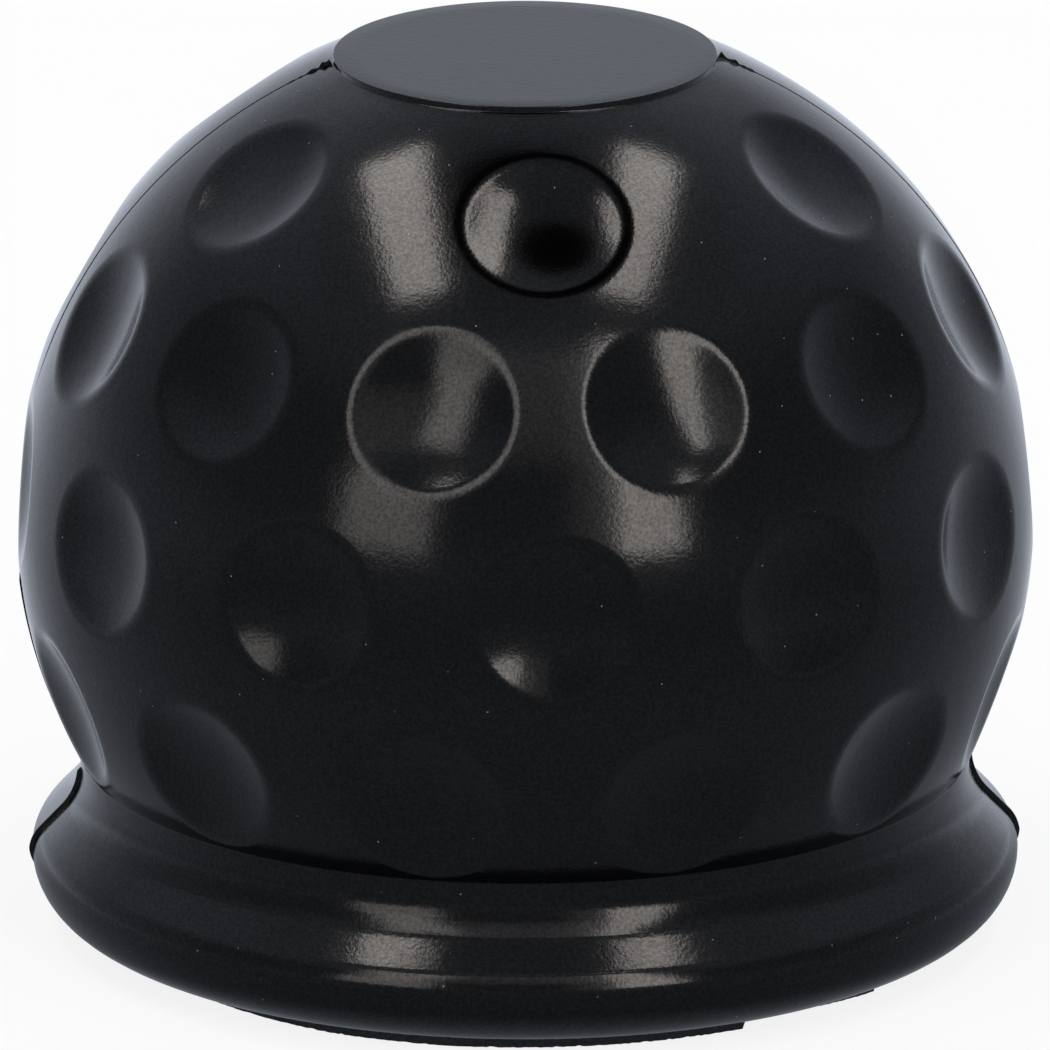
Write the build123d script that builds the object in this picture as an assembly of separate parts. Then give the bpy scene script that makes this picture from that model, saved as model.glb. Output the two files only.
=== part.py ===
from build123d import *
import os
from math import acos, asin, cos, radians, sin, sqrt, tan

# Tow ball cover: one hollow moulding in soft black PVC, pushed over a towing ball.
# A dimpled ball with a flat disc on top narrows to a short neck and swells again into a bead
# round the mouth. Z is the axis of the ball, the foot of the trimmed edge lies on z = 0
# and the front of the dimple pattern faces -Y. Lengths are in millimetres, angles in degrees.

# Ball and flat top disc
ball_radius = 32.5
top_disc_radius = 12.2
top_disc_step = 0.38

# Neck, which starts where the ball has turned in by this angle below its widest line
neck_turn = 28.75
neck_height = 2.05
neck_round = 0.5

# Bead round the mouth: a shoulder slopes out from the neck, facing up by this angle, and runs
# into the rounds above and below the bead's widest line
bead_swell = 3.1
shoulder_facing = 41
shoulder_round = 1.6
bead_upper_round = 3.4
bead_lower_round = 3.4

# Two fine creases part the bead's face into three bands, at heights above its widest line
crease_rises = [3.76, 1.9]
crease_round = 0.5
crease_depth = 0.1

# Shell, mouth, and the edge left where the moulding was trimmed
wall = 3.0
lip_thickness = 2.6
mouth_radius = 23.5
trim_height = 0.75
trim_width = 0.8

# Dimples in staggered rings, counted from the lowest ring up
dimples_in_ring = [12, 12, 12, 6]
dimple_radius = 4.9
dimple_depth = 1.05
dimple_soft_edge = 3.5
lowest_ring_land = 0.2
top_ring_land = 3.85
cutter_margin = 0.3
rim_match = 0.01

# Seam of the two mould halves, standing proud at both sides of the ball and the bead
ball_seam_proud = 0.15
bead_seam_proud = 0.3
seam_width = 0.4
seam_root = 0.6
seam_end_gap = 0.3

neck_angle = radians(neck_turn)
neck_radius = ball_radius * cos(neck_angle)
slope = radians(shoulder_facing)
bead_radius = neck_radius + bead_swell
bead_centre_radius = bead_radius - bead_upper_round
bead_height = trim_height + bead_lower_round
shoulder_foot_radius = bead_centre_radius + bead_upper_round * cos(slope)
shoulder_foot_rise = bead_upper_round * sin(slope)
shoulder_top_rise = shoulder_foot_rise + (shoulder_foot_radius - neck_radius) / tan(slope)
neck_foot = bead_height + shoulder_top_rise
neck_top = neck_foot + neck_height
ball_height = neck_top + ball_radius * sin(neck_angle)
lip_top = trim_height + lip_thickness
disc_latitude = acos(top_disc_radius / ball_radius)
disc_foot = ball_height + ball_radius * sin(disc_latitude)
overall_height = disc_foot + top_disc_step


def band(low, high, reach):
    """Flat rectangle from the axis out to a radius, between two heights."""
    return Pos(reach / 2, (low + high) / 2) * Rectangle(reach, high - low)


def ball_disc(radius):
    """Flat disc about the ball's centre."""
    return Pos(0, ball_height) * Circle(radius)


def neck_end(inset):
    """Height at which the neck meets the ball, when both are drawn in by an inset."""
    return ball_height - sqrt((ball_radius - inset) ** 2 - (neck_radius - inset) ** 2)


def bead_upper(inset):
    """Half section of the neck, the shoulder and the bead's upper round, drawn in by an inset."""
    round_radius = bead_upper_round - inset
    neck = neck_radius - inset
    foot_radius = bead_centre_radius + round_radius * cos(slope)
    foot_height = bead_height + round_radius * sin(slope)
    top_height = foot_height + (foot_radius - neck) / tan(slope)
    outer_round = Pos(bead_centre_radius, bead_height) * Circle(round_radius)
    outer_round = outer_round & band(bead_height, foot_height, bead_radius - inset)
    shoulder = Polygon(
        (0, bead_height),
        (bead_centre_radius, bead_height),
        (foot_radius, foot_height),
        (neck, top_height),
        (neck, neck_end(inset)),
        (0, neck_end(inset)),
        align=None,
    )
    return outer_round + shoulder


def bead_face(rise):
    """Radius of the bead's face at a height above its widest line, and its angle upwards."""
    if rise < shoulder_foot_rise:
        turn = asin(rise / bead_upper_round)
        return bead_centre_radius + bead_upper_round * cos(turn), turn
    return shoulder_foot_radius - (rise - shoulder_foot_rise) * tan(slope), slope


def outer_section():
    """Half section of the outside: ball, top disc, neck, bead with its creases, trimmed edge."""
    ball = ball_disc(ball_radius) & band(neck_top, overall_height, ball_radius)
    disc = band(overall_height - wall, overall_height, top_disc_radius)
    foot_radius = bead_radius - bead_lower_round
    lower = Pos(foot_radius, bead_height) * Circle(bead_lower_round)
    lower = lower & band(trim_height, bead_height, bead_radius)
    core = band(trim_height, bead_height, foot_radius)
    trim = band(0, trim_height, foot_radius) - band(0, trim_height, foot_radius - trim_width)
    section = ball + disc + bead_upper(0) + lower + core + trim
    for height, radius in ((neck_top, neck_round), (neck_foot, shoulder_round)):
        corner = section.vertices().sort_by_distance((neck_radius, height, 0))[0]
        section = fillet(corner, radius)
    for rise in crease_rises:
        radius, turn = bead_face(rise)
        outside = crease_round - crease_depth
        spot = Pos(radius + outside * cos(turn), bead_height + rise + outside * sin(turn))
        section -= spot * Circle(crease_round)
    return section


def cavity_section():
    """Half section of the inside: an even wall behind the ball and the neck, and the mouth."""
    inner_neck = neck_end(wall)
    ball = ball_disc(ball_radius - wall) & band(inner_neck, overall_height - wall, ball_radius)
    neck = band(lip_top, inner_neck, neck_radius - wall)
    mouth = band(0, lip_top, mouth_radius)
    return ball + neck + mouth


def dimple_spots():
    """Planes on the ball's surface, one for each dimple, facing outwards."""
    first_gap = neck_round * tan(neck_angle / 2) + lowest_ring_land + dimple_reach()
    lowest = first_gap / ball_radius - neck_angle
    highest = disc_latitude - (top_ring_land + dimple_reach()) / ball_radius
    pitch = (highest - lowest) / (len(dimples_in_ring) - 1)
    spots = []
    for ring, count in enumerate(dimples_in_ring):
        latitude = lowest + pitch * ring
        spacing = 360 / count
        stagger = spacing / 2 if ring % 2 == 0 else 0
        for step in range(count):
            azimuth = radians(step * spacing + stagger)
            out = Vector(cos(latitude) * sin(azimuth), -cos(latitude) * cos(azimuth), sin(latitude))
            spots.append(Plane(Vector(0, 0, ball_height) + out * ball_radius, z_dir=out))
    return spots


def dimple_cap():
    """Radius of the spherical hollow, from the dimple's rim and its depth below the ball."""
    bulge = ball_radius - sqrt(ball_radius**2 - dimple_radius**2)
    sag = dimple_depth - bulge
    return (dimple_radius**2 + sag**2) / (2 * sag)


def dimple_rim_turn():
    """Angle through which the surface turns at a dimple's rim."""
    return asin(dimple_radius / dimple_cap()) + asin(dimple_radius / ball_radius)


def dimple_reach():
    """Distance from a dimple's centre to the outside of its soft edge."""
    return dimple_radius + dimple_soft_edge * tan(dimple_rim_turn() / 2)


def dimple_cutter():
    """Tool for one dimple: a spherical face with a straight shank, standing on its axis."""
    cap = Pos(0, dimple_cap() - dimple_depth) * Circle(dimple_cap())
    shank = band(-dimple_depth, cutter_margin, dimple_radius + cutter_margin)
    return revolve(Plane.XZ * (cap & shank), Axis.Z)


def seam_rib(spots):
    """The moulding seam at one side, clear of the dimples that it would cross."""
    over_ball = ball_disc(ball_radius + ball_seam_proud) - ball_disc(ball_radius - seam_root)
    over_ball = over_ball & band(neck_foot, disc_foot, 2 * ball_radius)
    over_bead = bead_upper(-bead_seam_proud) - bead_upper(seam_root)
    rib = extrude(Plane.XZ * (over_ball + over_bead), seam_width / 2, both=True)
    clear = dimple_reach() + seam_end_gap
    for spot in spots:
        if abs(spot.origin.Y) < clear and spot.origin.X > 0:
            rib -= spot * Cylinder(clear, 2 * (ball_seam_proud + seam_root + dimple_depth))
    return rib


section = outer_section() - cavity_section()
cover = revolve(Plane.XZ * section, Axis.Z)

spots = dimple_spots()
cutter = dimple_cutter()
cover -= [spot * cutter for spot in spots]
circles = cover.edges().filter_by(GeomType.CIRCLE)
rims = [edge for edge in circles if abs(edge.radius - dimple_radius) < rim_match]
cover = fillet(rims, dimple_soft_edge)

right_seam = seam_rib(spots)
cover += right_seam
cover += Rot(0, 0, 180) * right_seam

os.makedirs("parts", exist_ok=True)
export_step(cover, "parts/cover.step")
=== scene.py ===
from math import acos, asin, atan2, cos, degrees, pi, radians, sin, sqrt, tan

import bmesh
import bpy
from mathutils import Matrix, Vector, noise


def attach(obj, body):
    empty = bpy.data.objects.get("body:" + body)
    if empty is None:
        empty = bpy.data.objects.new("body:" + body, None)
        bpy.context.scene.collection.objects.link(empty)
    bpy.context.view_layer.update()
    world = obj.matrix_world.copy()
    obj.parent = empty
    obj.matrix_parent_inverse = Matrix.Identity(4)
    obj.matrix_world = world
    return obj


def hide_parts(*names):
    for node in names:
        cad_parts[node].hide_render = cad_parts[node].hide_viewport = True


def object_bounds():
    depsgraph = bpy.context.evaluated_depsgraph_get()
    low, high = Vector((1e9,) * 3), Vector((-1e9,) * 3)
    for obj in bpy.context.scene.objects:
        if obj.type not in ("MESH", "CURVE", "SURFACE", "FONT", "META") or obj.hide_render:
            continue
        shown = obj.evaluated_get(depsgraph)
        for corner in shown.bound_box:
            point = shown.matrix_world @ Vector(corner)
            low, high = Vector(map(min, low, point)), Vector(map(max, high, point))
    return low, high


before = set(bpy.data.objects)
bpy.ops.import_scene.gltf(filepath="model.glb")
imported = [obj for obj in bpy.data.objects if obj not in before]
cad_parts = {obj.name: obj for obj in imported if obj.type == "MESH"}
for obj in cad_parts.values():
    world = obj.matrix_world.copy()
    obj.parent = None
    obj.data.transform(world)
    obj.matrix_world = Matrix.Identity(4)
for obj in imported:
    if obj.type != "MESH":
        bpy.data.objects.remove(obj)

cad_low, cad_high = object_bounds()

# Moulded shell. The cover is one hollow moulding in soft black PVC: a ball with a flat disc on top, a
# short neck, and a bead round the open mouth. Its section is drawn as one line of straight runs and
# arcs, from the middle of the disc down the outside and up the inside, and spun about the axis.
ball_radius = 0.0325
disc_radius = 0.0122
disc_top = cad_high.z
disc_step = 0.00038
disc_edge_round = 0.00006
disc_foot_round = 0.00006
neck_turn = radians(28.75)
neck_round = 0.0005
bead_swell = 0.00313
shoulder_facing = radians(44)
shoulder_round = 0.0039
bead_upper_round = 0.0023
bead_lower_round = 0.0037
trim_height = 0.00075
wall = 0.003
lip_thickness = 0.0026
mouth_radius = 0.0235
spin_steps = 240
weld = 0.000002

ball_centre = Vector((0, 0, disc_top - disc_step - sqrt(ball_radius**2 - disc_radius**2)))
neck_radius = ball_radius * cos(neck_turn)
bead_radius = neck_radius + bead_swell
foot_radius = bead_radius - bead_lower_round
bead_centre = Vector((bead_radius - bead_upper_round, 0, trim_height + bead_lower_round))
shoulder_out = Vector((cos(shoulder_facing), 0, sin(shoulder_facing)))
shoulder_up = Vector((-sin(shoulder_facing), 0, cos(shoulder_facing)))
shoulder_foot = bead_centre + shoulder_out * bead_upper_round
neck_foot = shoulder_foot.z + (shoulder_foot.x - neck_radius) / tan(shoulder_facing)
lip_top = trim_height + lip_thickness
inner_top = disc_top - wall
inner_neck = neck_radius - wall

cover = bmesh.new()


def run(tip, x, z, steps=1):
    """Draws the section on in a straight line and gives its new end."""
    start = tip.co.copy()
    for step in range(steps):
        tip = bmesh.ops.extrude_vert_indiv(cover, verts=[tip])["verts"][0]
        tip.co = start.lerp(Vector((x, 0, z)), (step + 1) / steps)
    return tip


def sweep(tip, centre, turn, steps):
    """Draws the section on along an arc about a centre, clockwise, and gives its new end."""
    made = bmesh.ops.spin(cover, geom=[tip], cent=centre, axis=(0, 1, 0), angle=turn, steps=steps)
    return next(part for part in made["geom_last"] if isinstance(part, bmesh.types.BMVert))


# The disc, with its sharp edge, and the ball below it.
disc_foot_x = disc_radius + disc_foot_round
disc_foot_turn = acos(disc_foot_x / (ball_radius + disc_foot_round))
disc_foot_z = ball_centre.z + (ball_radius + disc_foot_round) * sin(disc_foot_turn)
neck_corner_x = neck_radius + neck_round
neck_corner_turn = acos(neck_corner_x / (ball_radius + neck_round))
neck_corner_z = ball_centre.z - (ball_radius + neck_round) * sin(neck_corner_turn)
tip = cover.verts.new((0, 0, disc_top))
tip = run(tip, disc_radius - disc_edge_round, disc_top, steps=8)
tip = sweep(tip, (disc_radius - disc_edge_round, 0, disc_top - disc_edge_round), pi / 2, steps=4)
tip = run(tip, disc_radius, disc_foot_z)
tip = sweep(tip, (disc_foot_x, 0, disc_foot_z), -disc_foot_turn, steps=4)
tip = sweep(tip, ball_centre, disc_foot_turn + neck_corner_turn, steps=66)

# The neck, which flows in a wide cove into the bead's sloping shoulder. Two fine creases part the
# bead's face into three bands: one in the cove and one on the round under the shoulder. They are
# hardly more than a trace: the dark lines seen there are mostly gaps between the reflected lamps.
crease_facing = radians(38.5)
crease_half = 0.0001
crease_depth = 0.000004
cove_crease = crease_half / shoulder_round
round_crease = crease_half / bead_upper_round
cove_tangent = shoulder_round * tan(shoulder_facing / 2)
cove_centre = Vector((neck_radius + shoulder_round, 0, neck_foot + cove_tangent))
tip = sweep(tip, (neck_corner_x, 0, neck_corner_z), -neck_corner_turn, steps=5)
tip = run(tip, neck_radius, cove_centre.z, steps=2)
tip = sweep(tip, cove_centre, cove_crease - crease_facing, steps=14)
tip = sweep(tip, cove_centre, -2 * cove_crease, steps=4)
tip = sweep(tip, cove_centre, crease_facing + cove_crease - shoulder_facing, steps=3)
tip = run(tip, shoulder_foot.x, shoulder_foot.z, steps=4)
tip = sweep(tip, bead_centre, shoulder_facing - crease_facing - round_crease, steps=2)
tip = sweep(tip, bead_centre, 2 * round_crease, steps=4)
tip = sweep(tip, bead_centre, crease_facing - round_crease, steps=12)
crease_out = Vector((cos(crease_facing), 0, sin(crease_facing)))
crease_in_cove = cove_centre - crease_out * shoulder_round
crease_on_round = bead_centre + crease_out * bead_upper_round
for place in (crease_in_cove, crease_on_round):
    for vert in cover.verts:
        away = (vert.co - place).length
        if away < crease_half:
            vert.co -= crease_out * crease_depth * (1 - away / crease_half)

# The foot of the bead, the lip round the mouth, and the inside.
inner_neck_turn = acos(inner_neck / (ball_radius - wall))
inner_neck_z = ball_centre.z - (ball_radius - wall) * sin(inner_neck_turn)
inner_top_turn = asin((inner_top - ball_centre.z) / (ball_radius - wall))
tip = sweep(tip, (foot_radius, 0, bead_centre.z), pi / 2, steps=12)
tip = run(tip, mouth_radius, trim_height, steps=4)
tip = run(tip, mouth_radius, lip_top, steps=3)
tip = run(tip, inner_neck, lip_top, steps=2)
tip = run(tip, inner_neck, inner_neck_z, steps=6)
tip = sweep(tip, ball_centre, -inner_neck_turn - inner_top_turn, steps=18)
tip = run(tip, 0, inner_top, steps=4)

section = cover.verts[:] + cover.edges[:]
bmesh.ops.spin(
    cover, geom=section, cent=(0, 0, 0), axis=(0, 0, 1), angle=2 * pi,
    steps=spin_steps, use_merge=True,
)
bmesh.ops.remove_doubles(cover, verts=cover.verts, dist=weld)

# Dimples, pressed by the mould in four staggered rings. Each is a shallow spherical hollow with a
# soft lip. The ball is cut open along each lip's outer circle, and the holes are drawn in ring by
# ring, down the lip and the hollow to a pole.
dimples_in_ring = [12, 12, 12, 6]
dimple_radius = 0.0052
dimple_depth = 0.0012
dimple_soft_edge = 0.0025
lowest_ring_land = 0.00007
top_ring_land = 0.00372
merge_step = 0.00015
cut_tolerance = 0.000001
cut_reach = 1.2
lip_steps = 8
hollow_steps = 7

dimple_bulge = ball_radius - sqrt(ball_radius**2 - dimple_radius**2)
dimple_sag = dimple_depth - dimple_bulge
hollow_radius = (dimple_radius**2 + dimple_sag**2) / (2 * dimple_sag)
hollow_reach = ball_radius - dimple_depth + hollow_radius
lip_reach = ball_radius - dimple_soft_edge
lip_turn = acos(
    (hollow_reach**2 + lip_reach**2 - (hollow_radius + dimple_soft_edge) ** 2)
    / (2 * hollow_reach * lip_reach)
)
lip_across = lip_reach * sin(lip_turn)
lip_along = lip_reach * cos(lip_turn)
lip_inner = atan2(lip_across, hollow_reach - lip_along)
lip_bend = lip_turn + lip_inner

# The rings are spread evenly between the neck and the disc, with these lands left at both ends.
rim_turn = asin(dimple_radius / hollow_radius) + asin(dimple_radius / ball_radius)
dimple_reach = dimple_radius + dimple_soft_edge * tan(rim_turn / 2)
neck_tangent = neck_round * tan(neck_turn / 2)
lowest = (neck_tangent + lowest_ring_land + dimple_reach) / ball_radius - neck_turn
highest = acos(disc_radius / ball_radius) - (top_ring_land + dimple_reach) / ball_radius
ring_pitch = (highest - lowest) / (len(dimples_in_ring) - 1)

dimples = []
for ring, count in enumerate(dimples_in_ring):
    latitude = lowest + ring_pitch * ring
    stagger = pi / count if ring % 2 == 0 else 0
    for step in range(count):
        azimuth = 2 * pi * step / count + stagger
        level = Vector((sin(azimuth), -cos(azimuth), 0)) * cos(latitude)
        dimples.append(level + Vector((0, 0, sin(latitude))))

ball_verts = set()
for vert in cover.verts:
    if abs((vert.co - ball_centre).length - ball_radius) < weld:
        ball_verts.add(vert)
ball_faces = [face for face in cover.faces if ball_verts.issuperset(face.verts)]
ball_faces = [(face, face.calc_center_median() - ball_centre) for face in ball_faces]
lip_circles = []
for out in dimples:
    near = set()
    for face, place in ball_faces:
        if place.dot(out) > ball_radius * cos(lip_turn * cut_reach) and face.is_valid:
            near.add(face)
            near.update(face.edges)
            near.update(face.verts)
    cut = bmesh.ops.bisect_plane(
        cover,
        geom=list(near),
        dist=cut_tolerance,
        plane_co=ball_centre + out * ball_radius * cos(lip_turn),
        plane_no=out,
        clear_outer=True,
    )
    lip_circles += [part for part in cut["geom_cut"] if isinstance(part, bmesh.types.BMVert)]
bmesh.ops.remove_doubles(cover, verts=lip_circles, dist=merge_step)

path = []
for step in range(1, lip_steps + 1):
    slope = lip_turn - lip_bend * step / lip_steps
    path.append((lip_across + dimple_soft_edge * sin(slope), lip_along + dimple_soft_edge * cos(slope)))
for step in range(1, hollow_steps + 1):
    slope = lip_inner * (1 - step / hollow_steps)
    path.append((hollow_radius * sin(slope), hollow_reach - hollow_radius * cos(slope)))

edges = [edge for edge in cover.edges if edge.is_boundary]
for across, along in path:
    drawn = bmesh.ops.extrude_edge_only(cover, edges=edges)["geom"]
    edges = [part for part in drawn if isinstance(part, bmesh.types.BMEdge) and part.is_boundary]
    for vert in {vert for edge in edges for vert in edge.verts}:
        place = vert.co - ball_centre
        out = max(dimples, key=place.dot)
        side = place - out * place.dot(out)
        vert.co = ball_centre + out * along + side.normalized() * across
poles = list({vert for edge in edges for vert in edge.verts})
bmesh.ops.remove_doubles(cover, verts=poles, dist=weld)
bmesh.ops.recalc_face_normals(cover, faces=cover.faces)

# The faces of the disc's flat top take the second material.
flat_tolerance = disc_edge_round / 10
for face in cover.faces:
    face.smooth = True
    if min(vert.co.z for vert in face.verts) > disc_top - flat_tolerance:
        face.material_index = 1
mesh = bpy.data.meshes.new("moulded_cover")
cover.to_mesh(mesh)
cover.free()
shell = bpy.data.objects.new("moulded_cover", mesh)
bpy.context.scene.collection.objects.link(shell)


# Soft PVC, moulded against polished steel: near black, with a wet gloss over a fine orange peel, which
# breaks the edges of the highlights into grains. The gloss is uneven in fine patches, and a few specks
# of dust lie on it.
def linear(code):
    """Linear colour, with alpha, from an sRGB hex code."""
    shares = [int(code[place:place + 2], 16) / 255 for place in (1, 3, 5)]
    return [s / 12.92 if s <= 0.04045 else ((s + 0.055) / 1.055) ** 2.4 for s in shares] + [1.0]


def add(tree, kind, settings=None, **inputs):
    """Adds a node, with its settings, and plain values or other nodes' outputs for its inputs."""
    node = tree.nodes.new(kind)
    for name, value in (settings or {}).items():
        setattr(node, name, value)
    for name, value in inputs.items():
        place = int(name[1:]) if name[0] == "_" else name.replace("_", " ")
        socket = node.inputs[place]
        if isinstance(value, bpy.types.NodeSocket):
            tree.links.new(value, socket)
        else:
            socket.default_value = value
    return node


pvc_ior = 1.52
peel_size = 0.00022
peel_height = 0.000006
ripple_size = 0.0013
ripple_height = 0.000008
film_size = 0.0002
dust_pitch = 0.0018
dust_size = 0.00006

soft_pvc = bpy.data.materials.new("soft_pvc")
soft_pvc.use_nodes = True
tree = soft_pvc.node_tree
surface = tree.nodes["Principled BSDF"]
surface.inputs["Roughness"].default_value = 0.13
surface.inputs["IOR"].default_value = pvc_ior
where = add(tree, "ShaderNodeTexCoord").outputs["Object"]
peel = add(tree, "ShaderNodeTexNoise", Vector=where, Scale=1 / peel_size, Detail=2.0)
ripple = add(tree, "ShaderNodeTexNoise", Vector=where, Scale=1 / ripple_size, Detail=1.0)
bump = add(tree, "ShaderNodeBump", Height=ripple.outputs["Fac"], Distance=ripple_height)
bump = add(
    tree, "ShaderNodeBump",
    Height=peel.outputs["Fac"], Distance=peel_height, Normal=bump.outputs[0],
)
tree.links.new(bump.outputs[0], surface.inputs["Normal"])
specks = add(tree, "ShaderNodeTexVoronoi", Vector=where, Scale=1 / dust_pitch)
speck = add(
    tree, "ShaderNodeMath", {"operation": "LESS_THAN"},
    _0=specks.outputs["Distance"], _1=dust_size / dust_pitch,
)
film = add(tree, "ShaderNodeTexNoise", Vector=where, Scale=1 / film_size, Detail=3.0)
gloss = add(
    tree, "ShaderNodeMapRange", Value=film.outputs["Fac"],
    From_Min=0.35, From_Max=0.65, To_Min=0.62, To_Max=0.38,
)
tree.links.new(gloss.outputs[0], surface.inputs["Specular IOR Level"])
mix = {"data_type": "RGBA"}
dusty = add(
    tree, "ShaderNodeMix", mix,
    _0=speck.outputs[0], _6=linear("#020203"), _7=linear("#8c8c8c"),
)
tree.links.new(dusty.outputs[2], surface.inputs["Base Color"])
mesh.materials.append(soft_pvc)

# The disc was moulded against a finely eroded face of the steel, which leaves it satin, with a grain.
grain_size = 0.0003
grain_height = 0.00002
satin_pvc = bpy.data.materials.new("satin_pvc")
satin_pvc.use_nodes = True
tree = satin_pvc.node_tree
surface = tree.nodes["Principled BSDF"]
surface.inputs["Base Color"].default_value = linear("#0c0c0e")
surface.inputs["Roughness"].default_value = 0.3
surface.inputs["IOR"].default_value = pvc_ior
where = add(tree, "ShaderNodeTexCoord").outputs["Object"]
grain = add(tree, "ShaderNodeTexNoise", Vector=where, Scale=1 / grain_size, Detail=2.0)
bump = add(tree, "ShaderNodeBump", Height=grain.outputs["Fac"], Distance=grain_height)
tree.links.new(bump.outputs[0], surface.inputs["Normal"])
mesh.materials.append(satin_pvc)

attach(shell, "root")
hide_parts("cover")

# Mould seam. At both sides, where the halves of the mould met, a low rib of flash runs down the ball,
# the neck and the bead. It is torn and ragged beside the disc, hardly stands out on the ball, and stops
# short of the dimple at the side.
seam_half_width = 0.00016
seam_crest = 0.00008
seam_root = 0.0004
ball_proud = 0.00003
lower_proud = 0.0001
bead_proud = 0.00025
torn_length = 0.0032
torn_proud = 0.0004
seam_end_gap = 0.0003
seam_end_turn = radians(20)
seam_tip = 0.001
seam_lead_in = 1 / 20
seam_run_out = 1 / 8
cove_end = 0.45
slope_end = 0.7
seam_step = 0.00012
tear_size = 0.0004

side_latitude = lowest + ring_pitch
side_gap = (dimple_reach + seam_end_gap) / ball_radius
slope_length = (shoulder_foot.x - neck_radius) / sin(shoulder_facing) - cove_tangent
seam = bmesh.new()


def over_ball(share, height, first, last):
    """A place in the section at a height over the ball, at a share of the way between two angles."""
    turn = first + (last - first) * share
    return ball_centre + Vector((cos(turn), 0, sin(turn))) * (ball_radius + height)


def over_bead(share, height):
    """A place in the section at a height over the neck's cove, the shoulder and the bead's round."""
    if share < cove_end:
        turn = shoulder_facing * share / cove_end
        return cove_centre - Vector((cos(turn), 0, sin(turn))) * (shoulder_round - height)
    if share < slope_end:
        foot = shoulder_foot + shoulder_out * height
        return foot + shoulder_up * slope_length * (slope_end - share) / (slope_end - cove_end)
    gone = (share - slope_end) / (1 - slope_end)
    turn = shoulder_facing - (shoulder_facing + seam_end_turn) * gone
    return bead_centre + Vector((cos(turn), 0, sin(turn))) * (bead_upper_round + height)


def lay_rib(hand, length, proud, place, *angles):
    """A strip of flash at one side, sunk at both ends, along a path given by a place function."""
    stations = round(length / seam_step)
    profile = [(-seam_half_width, 0), (-seam_crest, 1), (seam_crest, 1), (seam_half_width, 0)]
    strips = len(profile) - 1
    grid = bmesh.ops.create_grid(seam, x_segments=stations, y_segments=strips, size=1.0)
    for vert in grid["verts"]:
        share = (vert.co.x + 1) / 2
        gone = share * length
        aside, crest = profile[round((vert.co.y + 1) / 2 * strips)]
        height = -seam_root
        if crest and seam_tip < share < 1 - seam_tip:
            height = proud * min(1, share / seam_lead_in, (1 - share) / seam_run_out)
            if proud == ball_proud and gone < torn_length:
                tear = noise.noise(Vector((gone / tear_size, hand * 7.3, 0.4))) + 0.5
                height += torn_proud * max(0, tear) * (1 - gone / torn_length)
        spot = place(share, height, *angles)
        vert.co = (hand * spot.x, aside, min(spot.z, disc_top))


for hand in (-1, 1):
    upper = (disc_foot_turn, side_latitude + side_gap)
    lower = (side_latitude - side_gap, -neck_corner_turn)
    lay_rib(hand, (upper[0] - upper[1]) * ball_radius, ball_proud, over_ball, *upper)
    lay_rib(hand, (lower[0] - lower[1]) * ball_radius, lower_proud, over_ball, *lower)
    lay_rib(hand, shoulder_round * 2, bead_proud, over_bead)

bmesh.ops.recalc_face_normals(seam, faces=seam.faces)
mesh = bpy.data.meshes.new("mould_seam")
seam.to_mesh(mesh)
seam.free()
mesh.materials.append(soft_pvc)
rib = bpy.data.objects.new("mould_seam", mesh)
bpy.context.scene.collection.objects.link(rib)
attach(rib, "root")
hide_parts("cover")

# Trimmed edge. Where the waste was cut off under the bead, a ragged low ring of flash is left. It is
# deepest at the front, and elsewhere most of it was cut away.
trim_width = 0.0008
trim_root = 0.0001
trim_steps = 720
trim_rest = 0.15
trim_tear = 0.15
coarse_tears = 0.9
fine_tears = 2.7

# Stretches that were left standing: degrees from the front where one starts and ends, and its depth at
# both ends as a share of the ring's height. The rest of the ring has one low depth.
stretches = [
    (-54, -30, 0.4, 0.95), (-30, -15, 0.95, 1.0), (-15, -12, 1.2, 1.1), (-12, 26, 1.0, 0.95),
    (38, 49, 0.5, 0.9), (95, 120, 0.5, 0.7), (165, 200, 1.2, 0.6), (250, 275, 0.5, 0.8),
]
trim = bmesh.new()
top = trim_height + trim_root
inner = foot_radius - trim_width
corners = [(foot_radius, top), (foot_radius, 0), (inner, 0), (inner, top)]
ring = [trim.verts.new((x, 0, z)) for x, z in corners]
for one, two in zip(ring, ring[1:]):
    trim.edges.new((one, two))
bmesh.ops.spin(
    trim, geom=trim.verts[:] + trim.edges[:], cent=(0, 0, 0), axis=(0, 0, 1), angle=2 * pi,
    steps=trim_steps, use_merge=True,
)
bmesh.ops.remove_doubles(trim, verts=trim.verts, dist=weld)
for vert in trim.verts:
    if vert.co.z < trim_height / 2:
        turn = degrees(atan2(vert.co.x, -vert.co.y))
        depth = trim_rest
        for start, end, first, last in stretches:
            share = (turn - start) % 360 / (end - start)
            if share < 1:
                depth = first + (last - first) * share
        tear = noise.noise(Vector((turn * coarse_tears, 1.7, 0.3))) * 0.5
        tear += noise.noise(Vector((turn * fine_tears, 4.1, 0.9)))
        vert.co.z = trim_height * (1 - min(1, depth * (1 - trim_tear * abs(tear))))
bmesh.ops.recalc_face_normals(trim, faces=trim.faces)
mesh = bpy.data.meshes.new("trimmed_edge")
trim.to_mesh(mesh)
trim.free()
mesh.materials.append(soft_pvc)
edge_ring = bpy.data.objects.new("trimmed_edge", mesh)
bpy.context.scene.collection.objects.link(edge_ring)
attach(edge_ring, "root")
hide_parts("cover")

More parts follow.
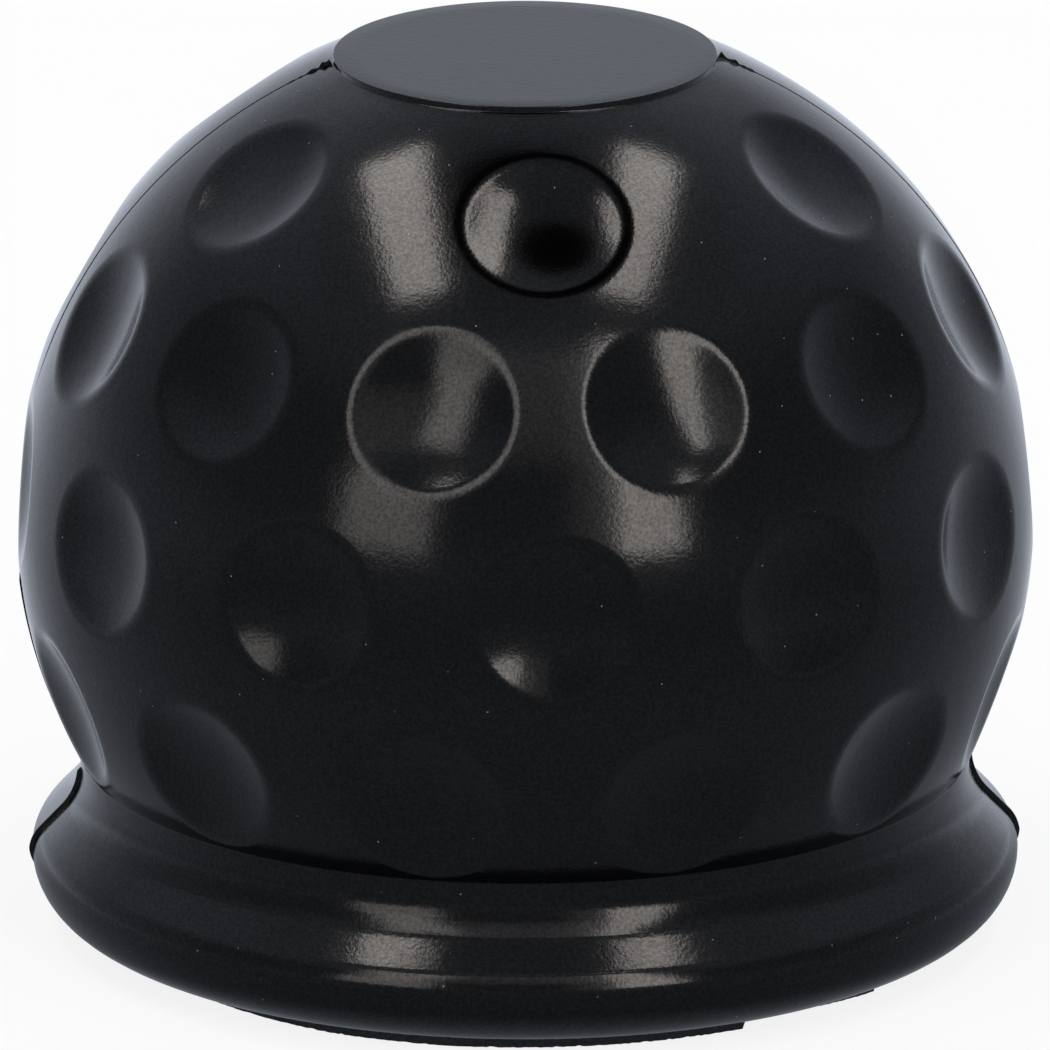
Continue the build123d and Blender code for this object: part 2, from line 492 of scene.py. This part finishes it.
# Studio. Everything stands square to the camera, which looks a little from the left. Round the cover
# the room is dim in front and at the sides, and a pale cool backdrop and table fill the far side.
camera_turn = radians(3.5)
camera_rise = radians(17.3)
square = Matrix.Rotation(-camera_turn, 4, "Z")
toward = Vector((0, -cos(camera_rise), sin(camera_rise)))
ceiling_lean = radians(4)
ceiling = Vector((0, sin(ceiling_lean), cos(ceiling_lean)))
room_strength = 1.45
room_tint = (0.93, 1.0, 1.15)
plain_tint = (1, 1, 1)
room_levels = [
    (0.0, 0.18), (0.35, 0.19), (0.5, 0.225), (0.61, 0.26), (0.705, 0.30), (0.755, 0.36),
    (0.805, 0.45), (0.85, 0.53), (0.90, 0.67), (0.93, 0.75), (1.0, 0.85),
]
height_levels = [
    (0.0, 1.0), (0.145, 1.0), (0.162, 0.52), (0.185, 0.64), (0.24, 0.69), (0.3, 0.76), (0.4, 0.66),
    (0.47, 0.8), (0.5, 0.8), (0.53, 0.75), (0.6, 0.63), (0.68, 0.6), (0.75, 0.6), (0.82, 0.85),
    (0.87, 1.0), (0.93, 0.84), (0.98, 0.66), (0.992, 0.0),
]


def ramp(tree, share, levels, tint):
    """A ramp of levels along a share, in one tint."""
    node = add(tree, "ShaderNodeValToRGB", Fac=share)
    for position, _ in levels[1:-1]:
        node.color_ramp.elements.new(position)
    for element, (position, level) in zip(node.color_ramp.elements, levels):
        element.position = position
        element.color = [level * channel for channel in tint] + [1]
    return node.outputs["Color"]


def room(tree, direction):
    """The light that comes from a direction: by how far it faces the camera, and by its height."""
    dot = {"operation": "DOT_PRODUCT"}
    halve = {"operation": "MULTIPLY_ADD"}
    facing = add(tree, "ShaderNodeVectorMath", dot, _0=direction, _1=toward)
    away = add(tree, "ShaderNodeMath", halve, _0=facing.outputs["Value"], _1=-0.5, _2=0.5)
    rise = add(tree, "ShaderNodeVectorMath", dot, _0=direction, _1=ceiling)
    height = add(tree, "ShaderNodeMath", halve, _0=rise.outputs["Value"], _1=0.5, _2=0.5)
    level = ramp(tree, away.outputs[0], room_levels, room_tint)
    share = ramp(tree, height.outputs[0], height_levels, plain_tint)
    mix = {"data_type": "RGBA", "blend_type": "MULTIPLY"}
    return add(tree, "ShaderNodeMix", mix, _0=1.0, _6=level, _7=share).outputs[2]


world = bpy.data.worlds.new("studio")
world.use_nodes = True
bpy.context.scene.world = world
tree = world.node_tree
tree.nodes.clear()
where = add(tree, "ShaderNodeTexCoord").outputs["Generated"]
dim = add(tree, "ShaderNodeBackground", Color=room(tree, where), Strength=room_strength)
white = add(tree, "ShaderNodeBackground", Color=linear("#ffffff"), Strength=1.0)
camera_ray = add(tree, "ShaderNodeLightPath").outputs["Is Camera Ray"]
either = add(tree, "ShaderNodeMixShader", _0=camera_ray, _1=dim.outputs[0], _2=white.outputs[0])
add(tree, "ShaderNodeOutputWorld", Surface=either.outputs[0])
bpy.context.scene.view_settings.view_transform = "Standard"

# Floor: a plain white sheet. To the camera it is white with a faint shadow. For the cover's gloss it is
# not lit but glows with painted light of the room, set by the direction from the ball: dim in front and
# pale behind.
floor_half = 3.0
sheet_glow = 0.86
floor_mesh = bpy.data.meshes.new("floor")
ground = bmesh.new()
bmesh.ops.create_grid(ground, x_segments=1, y_segments=1, size=floor_half)
ground.to_mesh(floor_mesh)
ground.free()
floor = bpy.data.objects.new("floor", floor_mesh)
bpy.context.scene.collection.objects.link(floor)
sheet = bpy.data.materials.new("white_sheet")
sheet.use_nodes = True
tree = sheet.node_tree
tree.nodes.clear()
white = add(tree, "ShaderNodeEmission", Color=linear("#ffffff"), Strength=sheet_glow)
shaded = add(tree, "ShaderNodeBsdfDiffuse", Color=linear("#7c7c7c"))
seen = add(tree, "ShaderNodeAddShader", _0=white.outputs[0], _1=shaded.outputs[0])
where = add(tree, "ShaderNodeTexCoord").outputs["Object"]
where = add(tree, "ShaderNodeVectorMath", {"operation": "SUBTRACT"}, _0=where, _1=ball_centre)
where = add(tree, "ShaderNodeVectorMath", {"operation": "NORMALIZE"}, _0=where.outputs[0])
# Painted room light: for all but camera rays the floor glows with the room's levels instead of being
# lit.
dim = add(tree, "ShaderNodeEmission", Color=room(tree, where.outputs[0]), Strength=room_strength)
camera_ray = add(tree, "ShaderNodeLightPath").outputs["Is Camera Ray"]
either = add(tree, "ShaderNodeMixShader", _0=camera_ray, _1=dim.outputs[0], _2=seen.outputs[0])
add(tree, "ShaderNodeOutputMaterial", Surface=either.outputs[0])
floor_mesh.materials.append(sheet)

# Lamps: on each side a long strip softbox overhead, and panels that lean in front and stop short of
# it. Each front panel has a brighter core a little nearer to the cover, so that its reflection ends
# softly. They are a little warm. A dim pale wall stands behind the camera.
lamp_colour = (1.0, 0.93, 0.88)
level_across = (1, 0, 0)
level_along = (0, 1, 0)
left_across = (0.8526, -0.5225, 0)
left_along = (0.2997, 0.489, 0.819)
low_along = (0.1335, 0.2017, 0.9703)
right_across = (0.8788, 0.4772, 0)
right_along = (0.2774, -0.4337, 1.678)
glow_across = (0.95, 0.31, 0)
glow_along = (0.17, -0.38, 1.54)
wall_along = (0, 0.545, 0.616)


def lamp(name, middle, across, along, width, length, radiance):
    """An area lamp at a place measured from the ball, with its sides along two directions."""
    data = bpy.data.lights.new(name, "AREA")
    data.shape = "RECTANGLE"
    data.size = width
    data.size_y = length
    data.color = lamp_colour
    data.energy = radiance * pi * width * length
    across = Vector(across).normalized()
    along = Vector(along)
    along = (along - across * along.dot(across)).normalized()
    turn = Matrix((across, along, across.cross(along))).transposed().to_4x4()
    body = bpy.data.objects.new(name, data)
    body.matrix_world = Matrix.Translation(ball_centre) @ square @ Matrix.Translation(middle) @ turn
    bpy.context.scene.collection.objects.link(body)


lamp("left_overhead", (-0.4025, 0.017, 1.0), level_across, level_along, 0.215, 0.786, 4.4)
lamp("right_overhead", (0.3775, 0.010, 1.0), level_across, level_along, 0.19, 0.80, 4.2)
lamp("left_front", (-0.471, -0.768, 0.631), left_across, left_along, 0.36, 0.62, 0.8)
lamp("left_core", (-0.452, -0.737, 0.606), left_across, left_along, 0.22, 0.48, 1.1)
lamp("left_low", (-0.600, -0.951, 0.278), left_across, low_along, 0.46, 0.34, 0.7)
lamp("left_low_core", (-0.570, -0.903, 0.264), left_across, low_along, 0.34, 0.24, 0.7)
lamp("right_front", (0.505, -0.9224, 0.9296), right_across, right_along, 0.24, 1.755, 1.5)
lamp("right_core", (0.4848, -0.8855, 0.8924), right_across, right_along, 0.18, 1.68, 2.0)
lamp("right_glow", (0.307, -0.955, 0.826), glow_across, glow_along, 0.22, 1.5, 0.18)
lamp("right_glow_core", (0.331, -0.904, 0.793), glow_across, glow_along, 0.11, 1.5, 0.25)
lamp("front_wall", (0, -1.389, 1.229), level_across, wall_along, 1.25, 0.95, 0.1)
lamp("front_wall_core", (0, -1.333, 1.180), level_across, wall_along, 0.95, 0.7, 0.12)

# Camera, level, with the ball a little above the middle of the picture.
camera_reach = 1.3
picture_width = 0.06709
aim_drop = 0.00086
far_end = 10.0
aim = ball_centre - Vector((0, 0, aim_drop))
data = bpy.data.cameras.new("camera")
data.sensor_width = 36.0
data.lens = data.sensor_width * camera_reach / cos(camera_rise) / picture_width
data.clip_end = far_end
camera = bpy.data.objects.new("camera", data)
bpy.context.scene.collection.objects.link(camera)
camera.location = ball_centre + square @ Vector((0, -camera_reach, camera_reach * tan(camera_rise)))
camera.rotation_euler = (aim - camera.location).to_track_quat("-Z", "Y").to_euler()
bpy.context.scene.camera = camera
